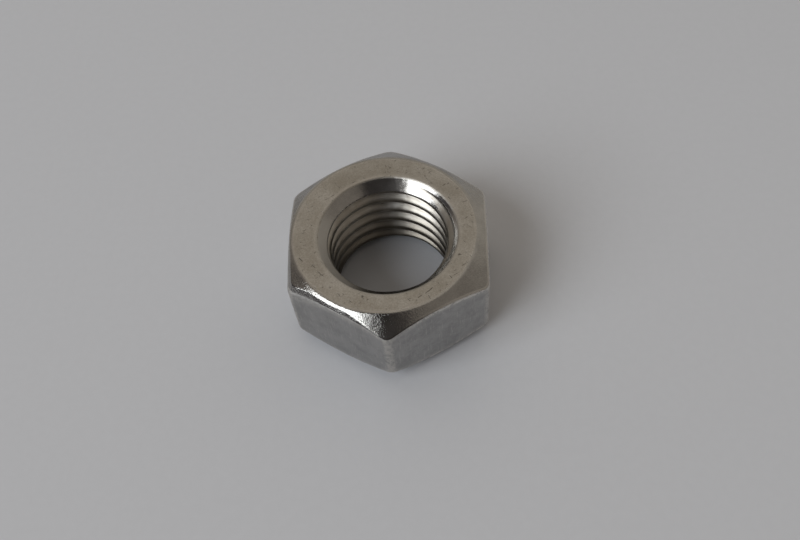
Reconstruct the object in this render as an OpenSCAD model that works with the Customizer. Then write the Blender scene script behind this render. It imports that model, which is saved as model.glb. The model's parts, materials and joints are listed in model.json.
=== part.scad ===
// Hexagon axle nut: forged stainless body, chamfered on both faces, tapped right through.
// Origin at the middle of the lower bearing face, +Z along the bore.

/* [Body] */
// Width across flats, the spanner size
across_flats = 24; // [22:0.5:30]
// Height between the two bearing faces
nut_h = 12.5; // [10:0.5:16]
// Radius of the forged corners between two flats
corner_r = 1.3; // [0.8:0.1:2.4]

/* [Chamfers] */
// Diameter of the flat bearing face inside each chamfer
face_d = 22.5; // [20:0.1:23.5]
// Slope of the chamfers, measured from the bearing face
chamfer_angle = 32; // [15:1:40]

/* [Thread] */
// Nominal diameter of the thread
thread_d = 16; // [12:0.5:17]
// Pitch of the thread, one turn along the bore
thread_pitch = 2; // [1:0.25:2.5]
// Extra minor diameter left by the tapping drill
tap_allowance = 0.35; // [0:0.05:0.4]

/* [Countersinks] */
// Mouth of a countersink as a share of the thread diameter
sink_share = 1.07; // [1.05:0.01:1.15]
// Included angle of the countersinks
sink_angle = 90; // [90:5:120]

/* [Hidden] */
$fn = 96;

// A hexagon's flats stand this far round from its corners
HALF_SECTOR = 30;
// How far the cutters run past the faces they cut
over = 1;

// The corner arcs stand a hair proud of the flats, so that they cross them instead of only touching
corner_reach = 0.98 * corner_r;
corner_at = (across_flats / 2 - corner_reach) / cos(HALF_SECTOR);
across_corners = 2 * (corner_at + corner_r);

// Basic ISO thread: the bore stands at the minor diameter, 5/8 of the sharp triangle inside the crests
thread_tri = thread_pitch * cos(HALF_SECTOR);
minor_d = thread_d - 2 * 5 / 8 * thread_tri + tap_allowance;

sink_d = sink_share * thread_d;
sink_slope = tan(sink_angle / 2);
sink_h = (sink_d - minor_d) / 2 / sink_slope;

// Regular hexagon by its width across flats, corners on the X axis
module hexagon(width) {
    circle(d = width / cos(HALF_SECTOR), $fn = 6);
}

// Outline seen along the bore: flats facing left and right, rounded corners front and back
module hex_outline() {
    rotate(HALF_SECTOR) intersection() {
        hexagon(across_flats);
        union() {
            // The same hexagon with its points cut off behind the arcs
            rotate(HALF_SECTOR) hexagon(2 * (corner_at + corner_reach * cos(HALF_SECTOR)));
            for (turn = [0 : 60 : 300])
                rotate(turn) translate([corner_at, 0]) circle(r = corner_r);
        }
    }
}

// Turned envelope: two bearing faces and the cones that cut the corners back
module chamfer_envelope() {
    reach = across_corners / 2 + over;
    drop = (reach - face_d / 2) * tan(chamfer_angle);
    rotate_extrude() polygon([
        [0, 0], [face_d / 2, 0], [reach, drop],
        [reach, nut_h - drop], [face_d / 2, nut_h], [0, nut_h]
    ]);
}

// Tapped bore at its minor diameter, opening into a countersink at each face
module bore() {
    mouth = sink_d / 2 + over * sink_slope;
    rotate_extrude() polygon([
        [0, -over], [mouth, -over], [minor_d / 2, sink_h],
        [minor_d / 2, nut_h - sink_h], [mouth, nut_h + over], [0, nut_h + over]
    ]);
}

module axle_nut() {
    color("silver") difference() {
        intersection() {
            linear_extrude(nut_h) hex_outline();
            chamfer_envelope();
        }
        bore();
    }
}

axle_nut();
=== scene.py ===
import json
import math
from collections import namedtuple

import bpy
from bpy.props import FloatProperty, FloatVectorProperty, PointerProperty
from mathutils import Matrix, Vector


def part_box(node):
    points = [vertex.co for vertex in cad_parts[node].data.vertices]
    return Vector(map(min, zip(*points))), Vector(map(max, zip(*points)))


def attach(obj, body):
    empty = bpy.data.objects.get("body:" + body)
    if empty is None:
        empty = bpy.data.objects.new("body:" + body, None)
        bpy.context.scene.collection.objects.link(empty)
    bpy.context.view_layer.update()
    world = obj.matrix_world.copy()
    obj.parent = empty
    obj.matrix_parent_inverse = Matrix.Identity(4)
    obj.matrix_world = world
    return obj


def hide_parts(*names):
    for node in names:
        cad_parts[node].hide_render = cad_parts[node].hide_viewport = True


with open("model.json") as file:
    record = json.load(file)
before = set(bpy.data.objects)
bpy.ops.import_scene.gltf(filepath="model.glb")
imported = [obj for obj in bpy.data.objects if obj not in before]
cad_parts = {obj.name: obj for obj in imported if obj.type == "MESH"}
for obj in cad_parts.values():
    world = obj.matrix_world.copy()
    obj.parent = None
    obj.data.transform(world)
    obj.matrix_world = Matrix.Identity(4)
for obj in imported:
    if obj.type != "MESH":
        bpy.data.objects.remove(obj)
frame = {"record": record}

bl_info = {
    "name": "Hexagon Axle Nut",
    "version": (1, 0, 0),
    "blender": (4, 5, 0),
    "location": "3D View > Sidebar > Axle Nut",
    "description": "Builds a used stainless axle nut with a cut thread, and a plain studio round it",
    "category": "Add Mesh",
}

MM = 0.001
SIDES = 6
SECTOR = math.tau / SIDES
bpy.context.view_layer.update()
NUT_LOW, NUT_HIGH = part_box("axle_nut")
PITCH = 2 * MM
BORE = next(m for m in frame["record"]["mounts"] if m["name"] == "axle_thread")

# Angle from a flat's middle to the start of the rounded corner
CORNER_LEAN = math.radians(27.2)

# The second bevel takes at most this share of the chamfer, and a rounded edge this share of a band
WIDEST_BEVEL = 0.6
WIDEST_ROUNDING = 0.45

# The second bevel's inner edge is softened this much of its outer one
INNER_EDGE = 0.6

# Finishes of the nut, in the order of its material slots
FINISHES = ("faced_steel", "chamfer_steel", "flat_steel", "thread_steel")
FACED, TURNED, FORGED, TAPPED = range(len(FINISHES))

# Mesh density: columns round the axis, rows for each turn of the thread, rows of each band
COLUMNS = 432
CORNER_CROWDING = 0.6
ROWS_PER_TURN = 16
FACE_ROWS = 12
CHAMFER_ROWS = 9
FLAT_ROWS = 18
BEVEL_ROWS = 3
ROUNDING_ROWS = 3
WELD = 0.002 * MM

# Sides of the nut, as directions from its axis: edges rubbed bright, countersink scuffed
RUBBED_SIDE = (0.56, 0.83)
SCUFFED_SIDE = (-0.9, -0.43)

# The paper lies this far under the nut
FLOOR_GAP = 0.02 * MM
FLOOR_POINTS = 96

# Parts of the room: the middle's turn and height, where it fades out and where it is full, in degrees
Patch = namedtuple("Patch", "turn height fades full")
LIT_BACK = Patch(72, 30, 64, 22)
LIT_SIDE = Patch(128, 62, 26, 8)
LIT_CEILING = Patch(92, 82, 30, 10)
WINDOW_WALL = Patch(236, 0, 78, 60)
UNLIT_HIGH = Patch(257, 57, 25, 13)
UNLIT_LOW = Patch(276, 22, 36, 27)


def length(name, description, default):
    """A size in metres."""
    return FloatProperty(
        name=name, description=description, default=default, unit="LENGTH", precision=5
    )


def angle(name, description, degrees):
    """An angle, given in degrees."""
    return FloatProperty(
        name=name, description=description, default=math.radians(degrees), subtype="ANGLE"
    )


def share(name, description, default):
    """A number from 0 to 1."""
    return FloatProperty(
        name=name, description=description, default=default, min=0, max=1, subtype="FACTOR"
    )


def amount(name, description, default):
    """A plain number."""
    return FloatProperty(name=name, description=description, default=default)


def colour(name, description, default):
    """A linear colour."""
    return FloatVectorProperty(
        name=name, description=description, default=default, size=3, min=0, max=4, subtype="COLOR"
    )


class NutSizes(bpy.types.PropertyGroup):
    """Sizes of the nut."""

    across_flats: length("Across flats", "Spanner size", NUT_HIGH.x - NUT_LOW.x)
    height: length("Height", "From one bearing face to the other", NUT_HIGH.z - NUT_LOW.z)
    corner_radius: length("Corner radius", "Rounding of the six forged corners", 1.3 * MM)
    top_diameter: length("Top diameter", "Flat ring left by the upper chamfer", 22.5 * MM)
    low_diameter: length("Low diameter", "Flat ring left by the lower chamfer", 21.2 * MM)
    chamfer_angle: angle("Chamfer angle", "Slope of the chamfer from the face", 32)
    top_shift_x: length("Top shift X", "How far the upper chamfer was turned off centre", -0.40 * MM)
    top_shift_y: length("Top shift Y", "How far the upper chamfer was turned off centre", 0.29 * MM)
    low_shift_x: length("Low shift X", "How far the lower chamfer was turned off centre", 0.05 * MM)
    low_shift_y: length("Low shift Y", "How far the lower chamfer was turned off centre", 0.80 * MM)
    bevel_width: length("Bevel width", "How far a second, steeper bevel runs into the chamfer", 0.17 * MM)
    bevel_fall: share("Bevel fall", "How far it runs down the flats, as a share of that", 0.54)
    battered_width: length("Battered width", "How much wider that bevel is on the battered side", 0.80 * MM)
    battered_turn: angle("Battered turn", "Middle of the battered side, from +X", 224)
    battered_spread: angle("Battered spread", "How far round the battered side fades out", 48)
    mouth_rounding: length("Mouth rounding", "Softened edge of the countersink", 0.24 * MM)
    face_rounding: length("Face rounding", "Softened edge between face and chamfer", 0.20 * MM)
    bevel_rounding: length("Bevel rounding", "Softened edges of the second bevel", 0.22 * MM)
    lip_rounding: length("Lip rounding", "Extra rounding of the flats' upper edge at one corner", 0.28 * MM)
    lip_turn: angle("Lip turn", "Where that rounding is widest, from +X", 210)
    lip_spread: angle("Lip spread", "How far round it fades out", 27)
    thread_diameter: length("Thread diameter", "Across the roots of the thread", 16 * MM)
    bore_diameter: length("Bore diameter", "Across the crests", 2 * BORE["dims"]["r_mm"] * MM)
    pitch: length("Pitch", "Height of one turn", PITCH)
    root_width: length("Root width", "Flat at the bottom of the groove", 0.25 * MM)
    thread_start: angle("Thread start", "Where the groove runs out at the lower face", 62)
    sink_diameter: length("Countersink diameter", "Mouth of the bore", 17.12 * MM)
    sink_angle: angle("Countersink angle", "Full angle of its cone", 90)
    crest_rounding: length("Crest rounding", "Worn edges of the thread's crests", 1.00 * MM)
    wear_depth: length("Wear depth", "Deepest dip of the uneven surface", 0.02 * MM)
    chip_depth: length("Chip depth", "Deepest nick in the outer edges", 0.06 * MM)


class NutFinish(bpy.types.PropertyGroup):
    """Colours and gloss of the steel."""

    steel: colour("Steel", "Clean stainless steel", (0.56, 0.54, 0.51))
    film: colour("Film", "Warm handling film in the hollows", (0.33, 0.305, 0.268))
    turned: colour("Turned", "Turned chamfers and countersinks", (0.43, 0.415, 0.395))
    drawn: colour("Drawn", "Flats, drawn and tumbled", (0.398, 0.390, 0.382))
    # Darkens pits and scratches on the face as dirt; in the bore the same colour is painted shade towards
    # the lower face
    grime: colour("Grime and shade", "Dirt in pits and scratches, and painted shade low in the bore", (0.12, 0.105, 0.085))
    face_gloss: share("Face roughness", "Tumbled bearing face", 0.38)
    chamfer_gloss: share("Chamfer roughness", "Turned chamfer and countersink", 0.115)
    flat_gloss: share("Flat roughness", "Drawn flats", 0.40)
    thread_gloss: share("Thread roughness", "Tapped bore", 0.32)


class StageLook(bpy.types.PropertyGroup):
    """Floor, light and camera."""

    floor: colour("Floor", "Pale paper", (0.620, 0.630, 0.664))
    floor_radius: length("Floor radius", "Size of the paper", 1.8)
    window_light: colour("Window light", "Daylight through the soft window", (0.96, 1.0, 1.03))
    window_power: amount("Window power", "Watts of the soft window light", 23.8)
    window_turn: angle("Window turn", "Direction of the window, from +X", 215.3)
    window_height: angle("Window height", "Elevation of the window", 38)
    window_width: length("Window width", "Width of the window light", 1.31)
    window_tall: length("Window tall", "Height of the window light", 1.42)
    window_far: length("Window distance", "From the nut to the window", 2.0)
    room: colour("Room", "Dim warm room", (0.268, 0.243, 0.214))
    zenith: colour("Ceiling", "Warm light from the ceiling", (0.56, 0.513, 0.45))
    back_wall: colour("Back wall", "Lit wall behind the nut", (0.445, 0.416, 0.370))
    side_light: colour("Side light", "Lit upper wall on the left", (0.47, 0.422, 0.365))
    sill: colour("Sill", "Dark wall under the window", (0.05, 0.045, 0.05))
    horizon: colour("Horizon", "Pale paper near the floor", (0.36, 0.36, 0.36))
    camera_side: colour("Camera side", "Unlit side of the room, behind the camera", (0.05, 0.046, 0.045))
    view_turn: angle("View turn", "Camera direction, from -Y towards +X", 6.55)
    view_height: angle("View height", "Camera elevation", 57.7)
    view_roll: angle("View roll", "Camera roll", -7.17)
    view_far: length("View distance", "From the camera to the plane of the upper face", 106.95 * MM)
    aim_right: length("Aim right", "Picture centre, right of the face's centre", 1.499 * MM)
    aim_up: length("Aim up", "Picture centre, above the face's centre", -4.45 * MM)
    lens: amount("Lens", "Focal length in millimetres on a 36 mm frame", 40.2)


def connect(tree, value, socket):
    """Link a value into a socket, or set it there."""
    if isinstance(value, Term):
        tree.links.new(value.socket, socket)
    elif isinstance(value, bpy.types.NodeSocket):
        tree.links.new(value, socket)
    else:
        socket.default_value = value


def add_node(tree, kind, inputs=None, **settings):
    """A new node with its settings and inputs, which are named or numbered."""
    node = tree.nodes.new(kind)
    for key, value in settings.items():
        setattr(node, key, value)
    for key, value in (inputs or {}).items():
        connect(tree, value, node.inputs[key])
    return node


def math_node(tree, operation, *values):
    """A Math node on Terms and plain numbers."""
    node = add_node(tree, "ShaderNodeMath", dict(enumerate(values)), operation=operation)
    return Term(tree, node.outputs[0])


class Term:
    """A number worked out inside a node tree: arithmetic on it adds Math nodes."""

    def __init__(self, tree, socket):
        self.tree = tree
        self.socket = socket

    def math(self, operation, *others):
        return math_node(self.tree, operation, self, *others)

    def __add__(self, other):
        return self.math("ADD", other)

    def __radd__(self, other):
        return self.math("ADD", other)

    def __sub__(self, other):
        return self.math("SUBTRACT", other)

    def __rsub__(self, other):
        return math_node(self.tree, "SUBTRACT", other, self)

    def __mul__(self, other):
        return self.math("MULTIPLY", other)

    def __rmul__(self, other):
        return self.math("MULTIPLY", other)

    def __truediv__(self, other):
        return self.math("DIVIDE", other)

    def sin(self):
        return self.math("SINE")

    def cos(self):
        return self.math("COSINE")

    def tan(self):
        return self.math("TANGENT")

    def root(self):
        return self.math("SQRT")

    def size(self):
        return self.math("ABSOLUTE")

    def at_least(self, low):
        return self.math("MAXIMUM", low)

    def at_most(self, high):
        return self.math("MINIMUM", high)

    def towards(self, other, part):
        """The number that lies a part of the way to another."""
        return self + (other - self) * part

    def step(self, low, high):
        """A smooth step from 0 at low to 1 at high."""
        ranges = {"Value": self, "From Min": low, "From Max": high}
        node = add_node(
            self.tree, "ShaderNodeMapRange", ranges, interpolation_type="SMOOTHSTEP"
        )
        return Term(self.tree, node.outputs[0])


def number(tree, value):
    """A plain number as a Term."""
    node = tree.nodes.new("ShaderNodeValue")
    node.outputs[0].default_value = value
    return Term(tree, node.outputs[0])


def split(tree, place):
    """The three numbers of a vector."""
    node = add_node(tree, "ShaderNodeSeparateXYZ", {0: place})
    return [Term(tree, out) for out in node.outputs]


def vector(tree, x, y, z):
    """A vector of three numbers."""
    return add_node(tree, "ShaderNodeCombineXYZ", {0: x, 1: y, 2: z}).outputs[0]


def from_axis(tree, place):
    """Distance of a place from the nut's axis."""
    x, y = split(tree, place)[:2]
    return (x * x + y * y).root()


def noise(tree, place, scale, detail=3.0, roughness=0.55):
    """Smooth noise about 0.5, with a feature every 1 / scale."""
    inputs = {"Vector": place, "Scale": scale, "Detail": detail, "Roughness": roughness}
    return Term(tree, add_node(tree, "ShaderNodeTexNoise", inputs).outputs[0])


# The nut's skin: rings round the axis, joined by bands of faces

Ring = namedtuple("Ring", "radius height")


def hexagon_radius(turn, half, corner):
    """Distance from the axis to the rounded hexagon, by angle."""
    lean = turn.math("WRAP", SECTOR / 2, -SECTOR / 2).size()
    off_corner = SECTOR / 2 - lean
    centre = (half - corner) / math.cos(SECTOR / 2)
    reach = centre * off_corner.sin()
    arc = centre * off_corner.cos() + (corner * corner - reach * reach).root()
    tangent = (centre * math.sin(SECTOR / 2)).math("ARCTAN2", half)
    return (half / lean.cos()).towards(arc, lean.math("GREATER_THAN", tangent))


def distance(start, end):
    """Length of the straight line between two rings."""
    reach = end.radius - start.radius
    rise = end.height - start.height
    return (reach * reach + rise * rise).root()


def along(start, end, gap):
    """The ring a short way from one ring towards another."""
    part = (gap / distance(start, end)).at_most(WIDEST_ROUNDING)
    return Ring(start.radius.towards(end.radius, part), start.height.towards(end.height, part))


class NutSkin:
    """Bands of faces between rings round the axis, gathered for one mesh."""

    def __init__(self, tree, size):
        self.tree = tree
        self.size = size
        self.bands = []
        across = split(tree, add_node(tree, "GeometryNodeInputPosition").outputs[0])
        around = (across[0] + 0.5) * math.tau
        self.part = across[1] + 0.5
        self.turn = around + (around * SIDES).sin() * (CORNER_CROWDING / SIDES)
        self.cos = self.turn.cos()
        self.sin = self.turn.sin()
        self.hexagon = hexagon_radius(self.turn, size["across_flats"] * 0.5, size["corner_radius"])

    def fade(self, turn, spread):
        """1 at an angle round the axis, falling to 0 on both sides of it."""
        off = (self.turn - self.size[turn]).math("WRAP", math.pi, -math.pi).size()
        return 1.0 - (off / self.size[spread]).step(0.1, 1.0)

    def end_rings(self, level, end, extra):
        """Corners of one end's outline, from the bore out to the flats.

        level turns a depth below that end's face into a height.
        """
        size = self.size
        slope = size["chamfer_angle"]
        mouth = size["sink_diameter"] * 0.5
        bore = size["bore_diameter"] * 0.5
        off_centre = self.cos * size[end + "_shift_x"] + self.sin * size[end + "_shift_y"]
        edge = size[end + "_diameter"] * 0.5 + off_centre
        drop = (self.hexagon - edge) * slope.tan()
        chamfer = (self.hexagon - edge) / slope.cos()
        bevel = (size["bevel_width"] + extra).at_most(chamfer * WIDEST_BEVEL)
        return [
            Ring(bore, level((mouth - bore) / (size["sink_angle"] * 0.5).tan())),
            Ring(mouth, level(0)),
            Ring(edge, level(0)),
            Ring(self.hexagon - bevel * slope.cos(), level(drop - bevel * slope.sin())),
            Ring(self.hexagon, level(drop + bevel * size["bevel_fall"])),
            Ring(self.hexagon, size["height"] * 0.5),
        ]

    def gather(self, mesh, radius, height, edge_gap, finish, flip=False):
        """Mark a flat grid's finish, then put its points at a radius and height."""
        tree = self.tree
        gap = add_node(
            tree,
            "GeometryNodeStoreNamedAttribute",
            {"Geometry": mesh, "Name": "edge_gap", "Value": edge_gap},
            data_type="FLOAT",
            domain="POINT",
        )
        marked = add_node(
            tree,
            "GeometryNodeStoreNamedAttribute",
            {"Geometry": gap.outputs[0], "Name": "finish", "Value": finish},
            data_type="INT",
            domain="FACE",
        )
        spot = vector(tree, radius * self.cos, radius * self.sin, height)
        made = add_node(
            tree, "GeometryNodeSetPosition", {"Geometry": marked.outputs[0], "Position": spot}
        )
        if flip:
            made = add_node(tree, "GeometryNodeFlipFaces", {"Mesh": made.outputs[0]})
        self.bands.append(made.outputs[0])

    def grid(self, rows):
        """A flat sheet whose X runs round the axis and whose Y runs across the band."""
        sizes = {"Size X": 1.0, "Size Y": 1.0, "Vertices X": COLUMNS + 1, "Vertices Y": rows + 1}
        return add_node(self.tree, "GeometryNodeMeshGrid", sizes).outputs["Mesh"]

    def straight_band(self, finish, rows, start, end, flip):
        """A band of straight lines between two rings, with its rows crowded at both edges."""
        part = self.part.step(0.0, 1.0)
        width = distance(start, end)
        radius = start.radius.towards(end.radius, part)
        height = start.height.towards(end.height, part)
        edge_gap = part.at_most(1.0 - part) * width
        self.gather(self.grid(rows), radius, height, edge_gap, finish, flip)

    def rounded_band(self, finish, start, over, end, flip):
        """A rounded edge between two rings, drawn towards the ring where the edge was sharp."""
        part = self.part
        first = (1.0 - part) * (1.0 - part)
        middle = part * (1.0 - part) * 2.0
        last = part * part
        radius = start.radius * first + over.radius * middle + end.radius * last
        height = start.height * first + over.height * middle + end.height * last
        self.gather(self.grid(ROUNDING_ROWS), radius, height, 0.0, finish, flip)

    def end_bands(self, corners, lip, flip):
        """Bearing face, chamfer and second bevel of one end; returns the ring where the flats begin."""
        size = self.size
        softened = (
            (corners[1], size["mouth_rounding"], FACED),
            (corners[2], size["face_rounding"], TURNED),
            (corners[3], size["bevel_rounding"] * INNER_EDGE, TURNED),
            (corners[4], size["bevel_rounding"] + lip, FORGED),
        )
        sides = ((FACED, FACE_ROWS), (TURNED, CHAMFER_ROWS), (TURNED, BEVEL_ROWS))
        ends = []
        for index, (corner, gap, finish) in enumerate(softened):
            start = along(corner, corners[index], gap)
            end = along(corner, corners[index + 2], gap)
            self.rounded_band(finish, start, corner, end, flip)
            ends.append((start, end))
        for (finish, rows), before, after in zip(sides, ends, ends[1:]):
            self.straight_band(finish, rows, before[1], after[0], flip)
        return ends[-1][1]

    def bore_band(self):
        """The cut thread and both countersinks: rows that climb one pitch in each turn."""
        size = self.size
        pitch = size["pitch"]
        turns = math.ceil((NUT_HIGH.z - NUT_LOW.z) / PITCH) + 2
        wound = self.part * turns
        lead = size["thread_start"] / math.tau
        climb = (wound - 1.0 - lead + self.turn / math.tau) * pitch
        slope = (size["sink_angle"] * 0.5).tan()
        inset = size["mouth_rounding"] * (size["sink_angle"] * 0.5).cos()
        height = climb.at_least(inset).at_most(size["height"] - inset)
        major = size["thread_diameter"] * 0.5
        off_root = wound.math("WRAP", 0.5, -0.5).size() * pitch - size["root_width"] * 0.5
        flank = major - off_root / math.tan(SECTOR / 2)
        groove = flank.math("SMOOTH_MIN", major, size["root_width"])
        thread = groove.math("SMOOTH_MAX", size["bore_diameter"] * 0.5, size["crest_rounding"])
        depth = height.at_most(size["height"] - height)
        cone = size["sink_diameter"] * 0.5 - depth * slope
        radius = thread.at_least(cone)
        groove_gap = (radius - size["bore_diameter"] * 0.5).at_least(0.0)
        finish = TURNED + (TAPPED - TURNED) * thread.math("GREATER_THAN", cone)
        self.gather(self.grid(turns * ROWS_PER_TURN), radius, height, groove_gap, finish)


def surface_wear(tree, mesh, depth, chip_depth):
    """Press the skin in a little, unevenly, so that no face is dead flat."""
    place = add_node(tree, "GeometryNodeInputPosition").outputs[0]
    out = add_node(tree, "GeometryNodeInputNormal").outputs[0]
    broad = noise(tree, place, 0.35 / MM, 2.0)
    fine = noise(tree, place, 1.6 / MM, 3.0)
    outside = from_axis(tree, place).step(9.5 * MM, 10.5 * MM)
    gap = add_node(
        tree, "GeometryNodeInputNamedAttribute", {"Name": "edge_gap"}, data_type="FLOAT"
    )
    finish = add_node(
        tree, "GeometryNodeInputNamedAttribute", {"Name": "finish"}, data_type="FLOAT"
    )
    forged = Term(tree, finish.outputs[0]).step(TURNED + 0.2, FORGED)
    near_edge = (1.0 - Term(tree, gap.outputs[0]).step(0.0, 0.5 * MM)) * forged
    chips = noise(tree, place, 0.9 / MM, 2.0).step(0.58, 0.74) * near_edge * outside
    dip = (broad * 0.6 + fine * 0.4).step(0.35, 0.75) * depth + chips * chip_depth
    push = add_node(tree, "ShaderNodeVectorMath", {0: out, "Scale": dip * -1.0}, operation="SCALE")
    moved = add_node(
        tree, "GeometryNodeSetPosition", {"Geometry": mesh, "Offset": push.outputs[0]}
    )
    return moved.outputs[0]


def nut_tree(materials):
    """The node tree of the nut: its inputs are the sizes, and it makes one closed skin."""
    tree = bpy.data.node_groups.new("hexagon_nut", "GeometryNodeTree")
    tree.is_modifier = True
    tree.interface.new_socket("Nut", in_out="OUTPUT", socket_type="NodeSocketGeometry")
    for key in NutSizes.__annotations__:
        tree.interface.new_socket(key, in_out="INPUT", socket_type="NodeSocketFloat")
    inputs = tree.nodes.new("NodeGroupInput").outputs
    size = {key: Term(tree, inputs[key]) for key in NutSizes.__annotations__}

    skin = NutSkin(tree, size)
    lip = skin.fade("lip_turn", "lip_spread") * size["lip_rounding"]
    battered = skin.fade("battered_turn", "battered_spread") * size["battered_width"]
    top = skin.end_rings(lambda depth: size["height"] - depth, "top", battered)
    ground = number(tree, 0.0)
    low = skin.end_rings(lambda depth: ground + depth, "low", 0.0)
    flat_top = skin.end_bands(top, lip, False)
    flat_low = skin.end_bands(low, 0.0, True)
    skin.straight_band(FORGED, FLAT_ROWS, flat_top, flat_low, False)
    skin.bore_band()

    joined = add_node(tree, "GeometryNodeJoinGeometry")
    for band in reversed(skin.bands):
        tree.links.new(band, joined.inputs[0])
    welded = add_node(
        tree, "GeometryNodeMergeByDistance", {"Geometry": joined.outputs[0], "Distance": WELD}
    )
    turned = add_node(tree, "GeometryNodeFlipFaces", {"Mesh": welded.outputs[0]})
    worn = surface_wear(tree, turned.outputs[0], size["wear_depth"], size["chip_depth"])
    shaded = add_node(tree, "GeometryNodeSetShadeSmooth", {"Geometry": worn})
    result = add_node(tree, "GeometryNodeRealizeInstances", {"Geometry": shaded.outputs[0]})
    finish = add_node(
        tree, "GeometryNodeInputNamedAttribute", {"Name": "finish"}, data_type="INT"
    )
    for index, material in enumerate(materials):
        chosen = add_node(
            tree,
            "FunctionNodeCompare",
            {2: finish.outputs[0], 3: index},
            data_type="INT",
            operation="EQUAL",
        )
        result = add_node(
            tree,
            "GeometryNodeSetMaterial",
            {"Geometry": result.outputs[0], "Selection": chosen.outputs[0], "Material": material},
        )
    output = tree.nodes.new("NodeGroupOutput")
    tree.links.new(result.outputs[0], output.inputs[0])
    return tree


# Finishes of the steel

def blend(tree, part, first, second):
    """A colour between two, by a part from 0 to 1."""
    node = add_node(tree, "ShaderNodeMix", data_type="RGBA", blend_type="MIX")
    connect(tree, part, node.inputs[0])
    for tone, socket in ((first, node.inputs[6]), (second, node.inputs[7])):
        made = isinstance(tone, bpy.types.NodeSocket)
        connect(tree, tone if made else (*tone, 1.0), socket)
    return node.outputs[2]


def place_in_mm(tree):
    """Object coordinates in millimetres."""
    coords = tree.nodes.new("ShaderNodeTexCoord").outputs["Object"]
    node = add_node(
        tree, "ShaderNodeVectorMath", {0: coords, "Scale": 1 / MM}, operation="SCALE"
    )
    return node.outputs[0]


def turned_place(tree, place, around, across, rise):
    """Coordinates for tool marks: slow round the axis, quick across the cut."""
    x, y, z = split(tree, place)
    radius = from_axis(tree, place)
    return vector(tree, x / radius * around, y / radius * around, radius * across + z * rise)


def towards_side(tree, place, side):
    """1 on one side of the nut, -1 on the opposite side."""
    x, y = split(tree, place)[:2]
    return (x * side[0] + y * side[1]) / from_axis(tree, place)


def rubbed_edges(tree, place):
    """1 where handling has rubbed the outer edges bright, 0 on the battered side."""
    return towards_side(tree, place, RUBBED_SIDE).step(-0.8, -0.5)


def edge_gap(tree):
    """Distance in millimetres to the nearest edge of a surface."""
    node = add_node(tree, "ShaderNodeAttribute", attribute_name="edge_gap")
    return Term(tree, node.outputs["Fac"]) / MM


def steel_shader(colours, roughness, height, depth):
    """A metal from its colour, its roughness and a relief whose depth is in millimetres."""
    tree = colours.id_data
    shader = add_node(
        tree,
        "ShaderNodeBsdfPrincipled",
        {"Base Color": colours, "Roughness": roughness, "Metallic": 1.0},
    )
    bump = add_node(
        tree, "ShaderNodeBump", {"Height": height, "Distance": depth * MM, "Strength": 1.0}
    )
    tree.links.new(bump.outputs[0], shader.inputs["Normal"])
    output = tree.nodes.new("ShaderNodeOutputMaterial")
    tree.links.new(shader.outputs[0], output.inputs["Surface"])


def new_material(name):
    """An empty node material."""
    material = bpy.data.materials.new(name)
    material.use_nodes = True
    material.node_tree.nodes.clear()
    return material


def dashes(tree, place, turn):
    """Short scattered scratches, all at one angle."""
    node = add_node(
        tree,
        "ShaderNodeMapping",
        {"Vector": place, "Rotation": (0, 0, turn), "Scale": (1.2, 0.24, 1.0)},
        vector_type="TEXTURE",
    )
    return noise(tree, node.outputs[0], 1.0, 1.0).step(0.71, 0.77)


def faced_steel(look):
    """Tumbled bearing face: matte, speckled with small pits."""
    material = new_material(FINISHES[FACED])
    tree = material.node_tree
    place = place_in_mm(tree)
    broad = noise(tree, place, 0.28, 1.0)
    grain = noise(tree, place, 7.0, 2.0)
    pits = noise(tree, place, 3.0, 3.0, 0.6).step(0.64, 0.74)
    nicks = dashes(tree, place, 0.6).at_least(dashes(tree, place, -0.9))
    hurt = pits.at_least(nicks)
    worn = 1.0 - edge_gap(tree).step(0.0, 0.35)
    tone = blend(tree, (broad * 0.4 + grain * 0.6).step(0.3, 0.85), look.film, look.steel)
    tone = blend(tree, hurt * 0.8, tone, look.grime)
    tone = blend(tree, worn * 0.2, tone, look.steel)
    rough = look.face_gloss + (broad - 0.5) * 0.12 + hurt * 0.15
    steel_shader(tone, rough, grain * 0.5 - hurt, depth=0.02)
    return material


def chamfer_steel(look):
    """Turned chamfer and countersink: glossy, with fine tool lines and a light grain."""
    material = new_material(FINISHES[TURNED])
    tree = material.node_tree
    place = place_in_mm(tree)
    lines = noise(tree, turned_place(tree, place, 2.0, 9.0, -9.0), 1.0, 2.0)
    grain = noise(tree, place, 6.0, 2.0, 0.6)
    broad = noise(tree, place, 0.5)
    radius = from_axis(tree, place)
    tumbled = radius.step(9.0, 10.0) * 0.75 + 0.25
    inside = 1.0 - radius.step(8.6, 8.9)
    scuffed = towards_side(tree, place, SCUFFED_SIDE).step(0.5, 0.95) * inside
    rim = (1.0 - edge_gap(tree).step(0.0, 0.15)) * radius.step(11.6, 11.9)
    worn = rim * rubbed_edges(tree, place)
    dull = [c * 0.8 for c in look.turned]
    tone = blend(tree, (broad * 0.5 + grain * 0.5).step(0.35, 0.65), dull, look.turned)
    tone = blend(tree, worn.at_least(scuffed) * 0.8, tone, look.steel)
    rough = look.chamfer_gloss + (1.0 - tumbled) * 0.1 + (broad - 0.5) * 0.08
    rough = rough + worn * 0.16 + scuffed * 0.3
    steel_shader(tone, rough, (lines * 0.2 + grain) * tumbled, depth=0.021)
    return material


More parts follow.
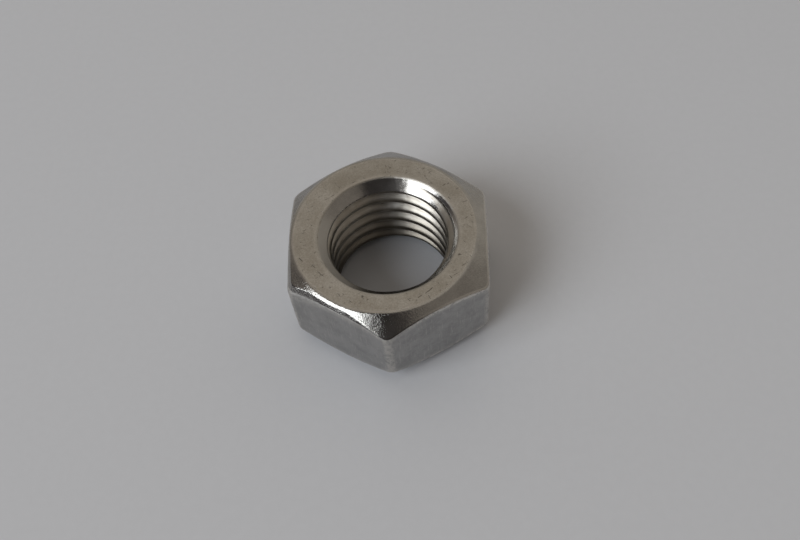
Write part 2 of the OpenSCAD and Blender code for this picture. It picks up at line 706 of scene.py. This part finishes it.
def flat_steel(look):
    """Drawn flats: satin and mottled, with drag marks and brighter edges."""
    material = new_material(FINISHES[FORGED])
    tree = material.node_tree
    place = place_in_mm(tree)
    broad = noise(tree, place, 0.5, 3.0)
    mottle = noise(tree, place, 2.6, 4.0, 0.65)
    drag = add_node(
        tree,
        "ShaderNodeMapping",
        {"Vector": place, "Rotation": (0.5, 0.4, 0.6), "Scale": (6.0, 6.0, 0.5)},
    )
    marks = noise(tree, drag.outputs[0], 1.0, 2.0)
    worn = 1.0 - edge_gap(tree).step(0.0, 0.7)
    rim = (1.0 - edge_gap(tree).step(0.0, 0.12)) * rubbed_edges(tree, place)
    bright = [c * 1.15 for c in look.steel]
    x, y = split(tree, place)[:2]
    lean = y.math("ARCTAN2", x).math("WRAP", SECTOR / 2, -SECTOR / 2).size()
    corner = lean.step(CORNER_LEAN - 0.01, CORNER_LEAN + 0.03)
    scuffs = marks.step(0.58, 0.68) * mottle
    dull = [c * 0.76 for c in look.drawn]
    tone = blend(tree, (broad * 0.5 + mottle * 0.5).step(0.36, 0.62), dull, look.drawn)
    tone = blend(tree, corner * mottle.step(0.3, 0.65), tone, look.steel)
    bared = worn * mottle * 0.6 + scuffs * 0.6 + rim * mottle.step(0.4, 0.6)
    tone = blend(tree, bared.at_most(1.0), tone, bright)
    rough = look.flat_gloss + (mottle - 0.5) * 0.3 + worn * 0.06 + corner * 0.08
    steel_shader(tone, rough, mottle + marks * 0.6, depth=0.02)
    return material


def thread_steel(look):
    """Tapped bore: bright cut flanks with fine lines round the axis, and painted shade that darkens it low
    down.
    """
    material = new_material(FINISHES[TAPPED])
    tree = material.node_tree
    place = place_in_mm(tree)
    lines = noise(tree, turned_place(tree, place, 3.0, 12.0, 14.0), 1.0, 2.0)
    broad = noise(tree, place, 0.6)
    grain = noise(tree, place, 6.0, 2.0)
    # Painted shade: the bore's colour darkens towards its lower face, fully below 2 mm and fading out by
    # 8.5 mm
    painted_shade_low = 1.0 - split(tree, place)[2].step(2.0, 8.5)
    tone = blend(tree, (broad * 0.5 + lines * 0.5).step(0.4, 0.8), look.film, look.steel)
    tone = blend(tree, painted_shade_low * 0.7, tone, look.grime)
    rough = look.thread_gloss + (lines - 0.5) * 0.2 + (broad - 0.5) * 0.1
    steel_shader(tone, rough, lines + grain * 0.5, depth=0.007)
    return material


class AXLENUT_OT_nut(bpy.types.Operator):
    """Make the nut over the solid that it stands for"""

    bl_idname = "axlenut.make_nut"
    bl_label = "Make Nut"

    def execute(self, context):
        look = context.scene.axle_nut_finish
        sizes = context.scene.axle_nut_sizes
        materials = [make(look) for make in (faced_steel, chamfer_steel, flat_steel, thread_steel)]
        tree = nut_tree(materials)
        nut = bpy.data.objects.new("used_axle_nut", bpy.data.meshes.new("used_axle_nut"))
        context.scene.collection.objects.link(nut)
        modifier = nut.modifiers.new("hexagon_nut", "NODES")
        modifier.node_group = tree
        for item in tree.interface.items_tree:
            if item.in_out == "INPUT":
                modifier[item.identifier] = getattr(sizes, item.name)
        graph = context.evaluated_depsgraph_get()
        made = bpy.data.meshes.new_from_object(
            nut.evaluated_get(graph), preserve_all_data_layers=True, depsgraph=graph
        )
        if not made.polygons:
            raise RuntimeError("the nut's node tree made no faces")
        nut.modifiers.remove(modifier)
        nut.data = made
        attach(nut, "root")
        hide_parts("axle_nut")
        return {"FINISHED"}


# The stage

def heading(turn, height):
    """Unit vector at a turn from +X and a height above the floor."""
    return Vector(
        (math.cos(turn) * math.cos(height), math.sin(turn) * math.cos(height), math.sin(height))
    )


def make_floor(look):
    """A round sheet of pale paper, just under the nut."""
    mesh = bpy.data.meshes.new("floor")
    step = math.tau / FLOOR_POINTS
    ring = [heading(step * i, 0) * look.floor_radius for i in range(FLOOR_POINTS)]
    points = [(p.x, p.y, NUT_LOW.z - FLOOR_GAP) for p in ring]
    mesh.from_pydata(points, [], [range(FLOOR_POINTS)])
    floor = bpy.data.objects.new("floor", mesh)
    bpy.context.scene.collection.objects.link(floor)
    material = new_material("pale_paper")
    tree = material.node_tree
    place = place_in_mm(tree)
    fleck = noise(tree, place, 0.9, 4.0)
    tone = blend(tree, fleck.step(0.3, 0.7), [c * 0.985 for c in look.floor], look.floor)
    shader = add_node(tree, "ShaderNodeBsdfPrincipled", {"Base Color": tone, "Roughness": 0.65})
    shader.inputs["Specular IOR Level"].default_value = 0.3
    output = tree.nodes.new("ShaderNodeOutputMaterial")
    tree.links.new(shader.outputs[0], output.inputs["Surface"])
    mesh.materials.append(material)


def make_window(look):
    """One large soft window light."""
    lamp = bpy.data.lights.new("window", "AREA")
    lamp.shape = "RECTANGLE"
    lamp.size = look.window_width
    lamp.size_y = look.window_tall
    lamp.energy = look.window_power
    lamp.color = look.window_light
    window = bpy.data.objects.new("window", lamp)
    outward = heading(look.window_turn, look.window_height)
    window.location = outward * look.window_far
    window.rotation_euler = outward.to_track_quat("Z", "Y").to_euler()
    bpy.context.scene.collection.objects.link(window)


def facing(tree, direction, patch):
    """1 in the middle of a part of the room, 0 outside it."""
    turn, height, fades, full = [math.radians(degrees) for degrees in patch]
    middle = heading(turn, height)
    node = add_node(
        tree, "ShaderNodeVectorMath", {0: direction, 1: middle}, operation="DOT_PRODUCT"
    )
    return Term(tree, node.outputs["Value"]).step(math.cos(fades), math.cos(full))


def make_room(look):
    """A dim warm room: pale near the floor, a lit wall behind, dark on the camera's side."""
    world = bpy.data.worlds.new("room")
    world.use_nodes = True
    tree = world.node_tree
    tree.nodes.clear()
    direction = tree.nodes.new("ShaderNodeTexCoord").outputs["Generated"]
    rise = split(tree, direction)[2]
    tone = blend(tree, facing(tree, direction, LIT_BACK), look.room, look.back_wall)
    tone = blend(tree, facing(tree, direction, LIT_SIDE), tone, look.side_light)
    tone = blend(tree, facing(tree, direction, LIT_CEILING), tone, look.zenith)
    under_window = facing(tree, direction, WINDOW_WALL) * (1.0 - rise.step(0.4, 0.55))
    tone = blend(tree, under_window, tone, look.sill)
    unlit = facing(tree, direction, UNLIT_HIGH).at_least(facing(tree, direction, UNLIT_LOW))
    tone = blend(tree, unlit, tone, look.camera_side)
    tone = blend(tree, rise.step(0.03, 0.06), look.horizon, tone)
    background = add_node(tree, "ShaderNodeBackground", {"Color": tone, "Strength": 1.0})
    output = tree.nodes.new("ShaderNodeOutputWorld")
    tree.links.new(background.outputs[0], output.inputs["Surface"])
    bpy.context.scene.world = world


def make_camera(look, height):
    """The camera, looking down on the nut."""
    camera = bpy.data.objects.new("camera", bpy.data.cameras.new("camera"))
    camera.data.sensor_width = 36
    camera.data.lens = look.lens
    camera.data.clip_start = 1 * MM
    back = heading(look.view_turn - math.pi / 2, look.view_height)
    level = Vector((0, 0, 1)).cross(back).normalized()
    rise = back.cross(level)
    right = level * math.cos(look.view_roll) + rise * math.sin(look.view_roll)
    up = back.cross(right)
    face = Vector((0, 0, height))
    aim = face + right * look.aim_right + up * look.aim_up
    turn = Matrix((right, up, back)).transposed().to_4x4()
    camera.matrix_world = Matrix.Translation(aim + back * look.view_far) @ turn
    bpy.context.scene.collection.objects.link(camera)
    bpy.context.scene.camera = camera


class AXLENUT_OT_stage(bpy.types.Operator):
    """Make the floor, the light and the camera"""

    bl_idname = "axlenut.make_stage"
    bl_label = "Make Stage"

    def execute(self, context):
        look = context.scene.axle_nut_stage
        make_floor(look)
        make_window(look)
        make_room(look)
        make_camera(look, context.scene.axle_nut_sizes.height)
        context.scene.view_settings.view_transform = "Standard"
        return {"FINISHED"}


class AXLENUT_PT_panel(bpy.types.Panel):
    """Sizes, finish and stage of the axle nut"""

    bl_idname = "AXLENUT_PT_panel"
    bl_label = "Axle Nut"
    bl_space_type = "VIEW_3D"
    bl_region_type = "UI"
    bl_category = "Axle Nut"

    def draw(self, context):
        layout = self.layout
        for group, operator in (
            (context.scene.axle_nut_sizes, None),
            (context.scene.axle_nut_finish, AXLENUT_OT_nut),
            (context.scene.axle_nut_stage, AXLENUT_OT_stage),
        ):
            column = layout.column()
            for key in type(group).__annotations__:
                column.prop(group, key)
            if operator:
                column.operator(operator.bl_idname)


CLASSES = (NutSizes, NutFinish, StageLook, AXLENUT_OT_nut, AXLENUT_OT_stage, AXLENUT_PT_panel)
SETTINGS = {
    "axle_nut_sizes": NutSizes,
    "axle_nut_finish": NutFinish,
    "axle_nut_stage": StageLook,
}


def register():
    for cls in CLASSES:
        bpy.utils.register_class(cls)
    for name, group in SETTINGS.items():
        setattr(bpy.types.Scene, name, PointerProperty(type=group))


def unregister():
    for name in SETTINGS:
        delattr(bpy.types.Scene, name)
    for cls in reversed(CLASSES):
        bpy.utils.unregister_class(cls)


def main():
    register()
    bpy.ops.axlenut.make_nut()
    bpy.ops.axlenut.make_stage()


if __name__ == "__main__":
    main()
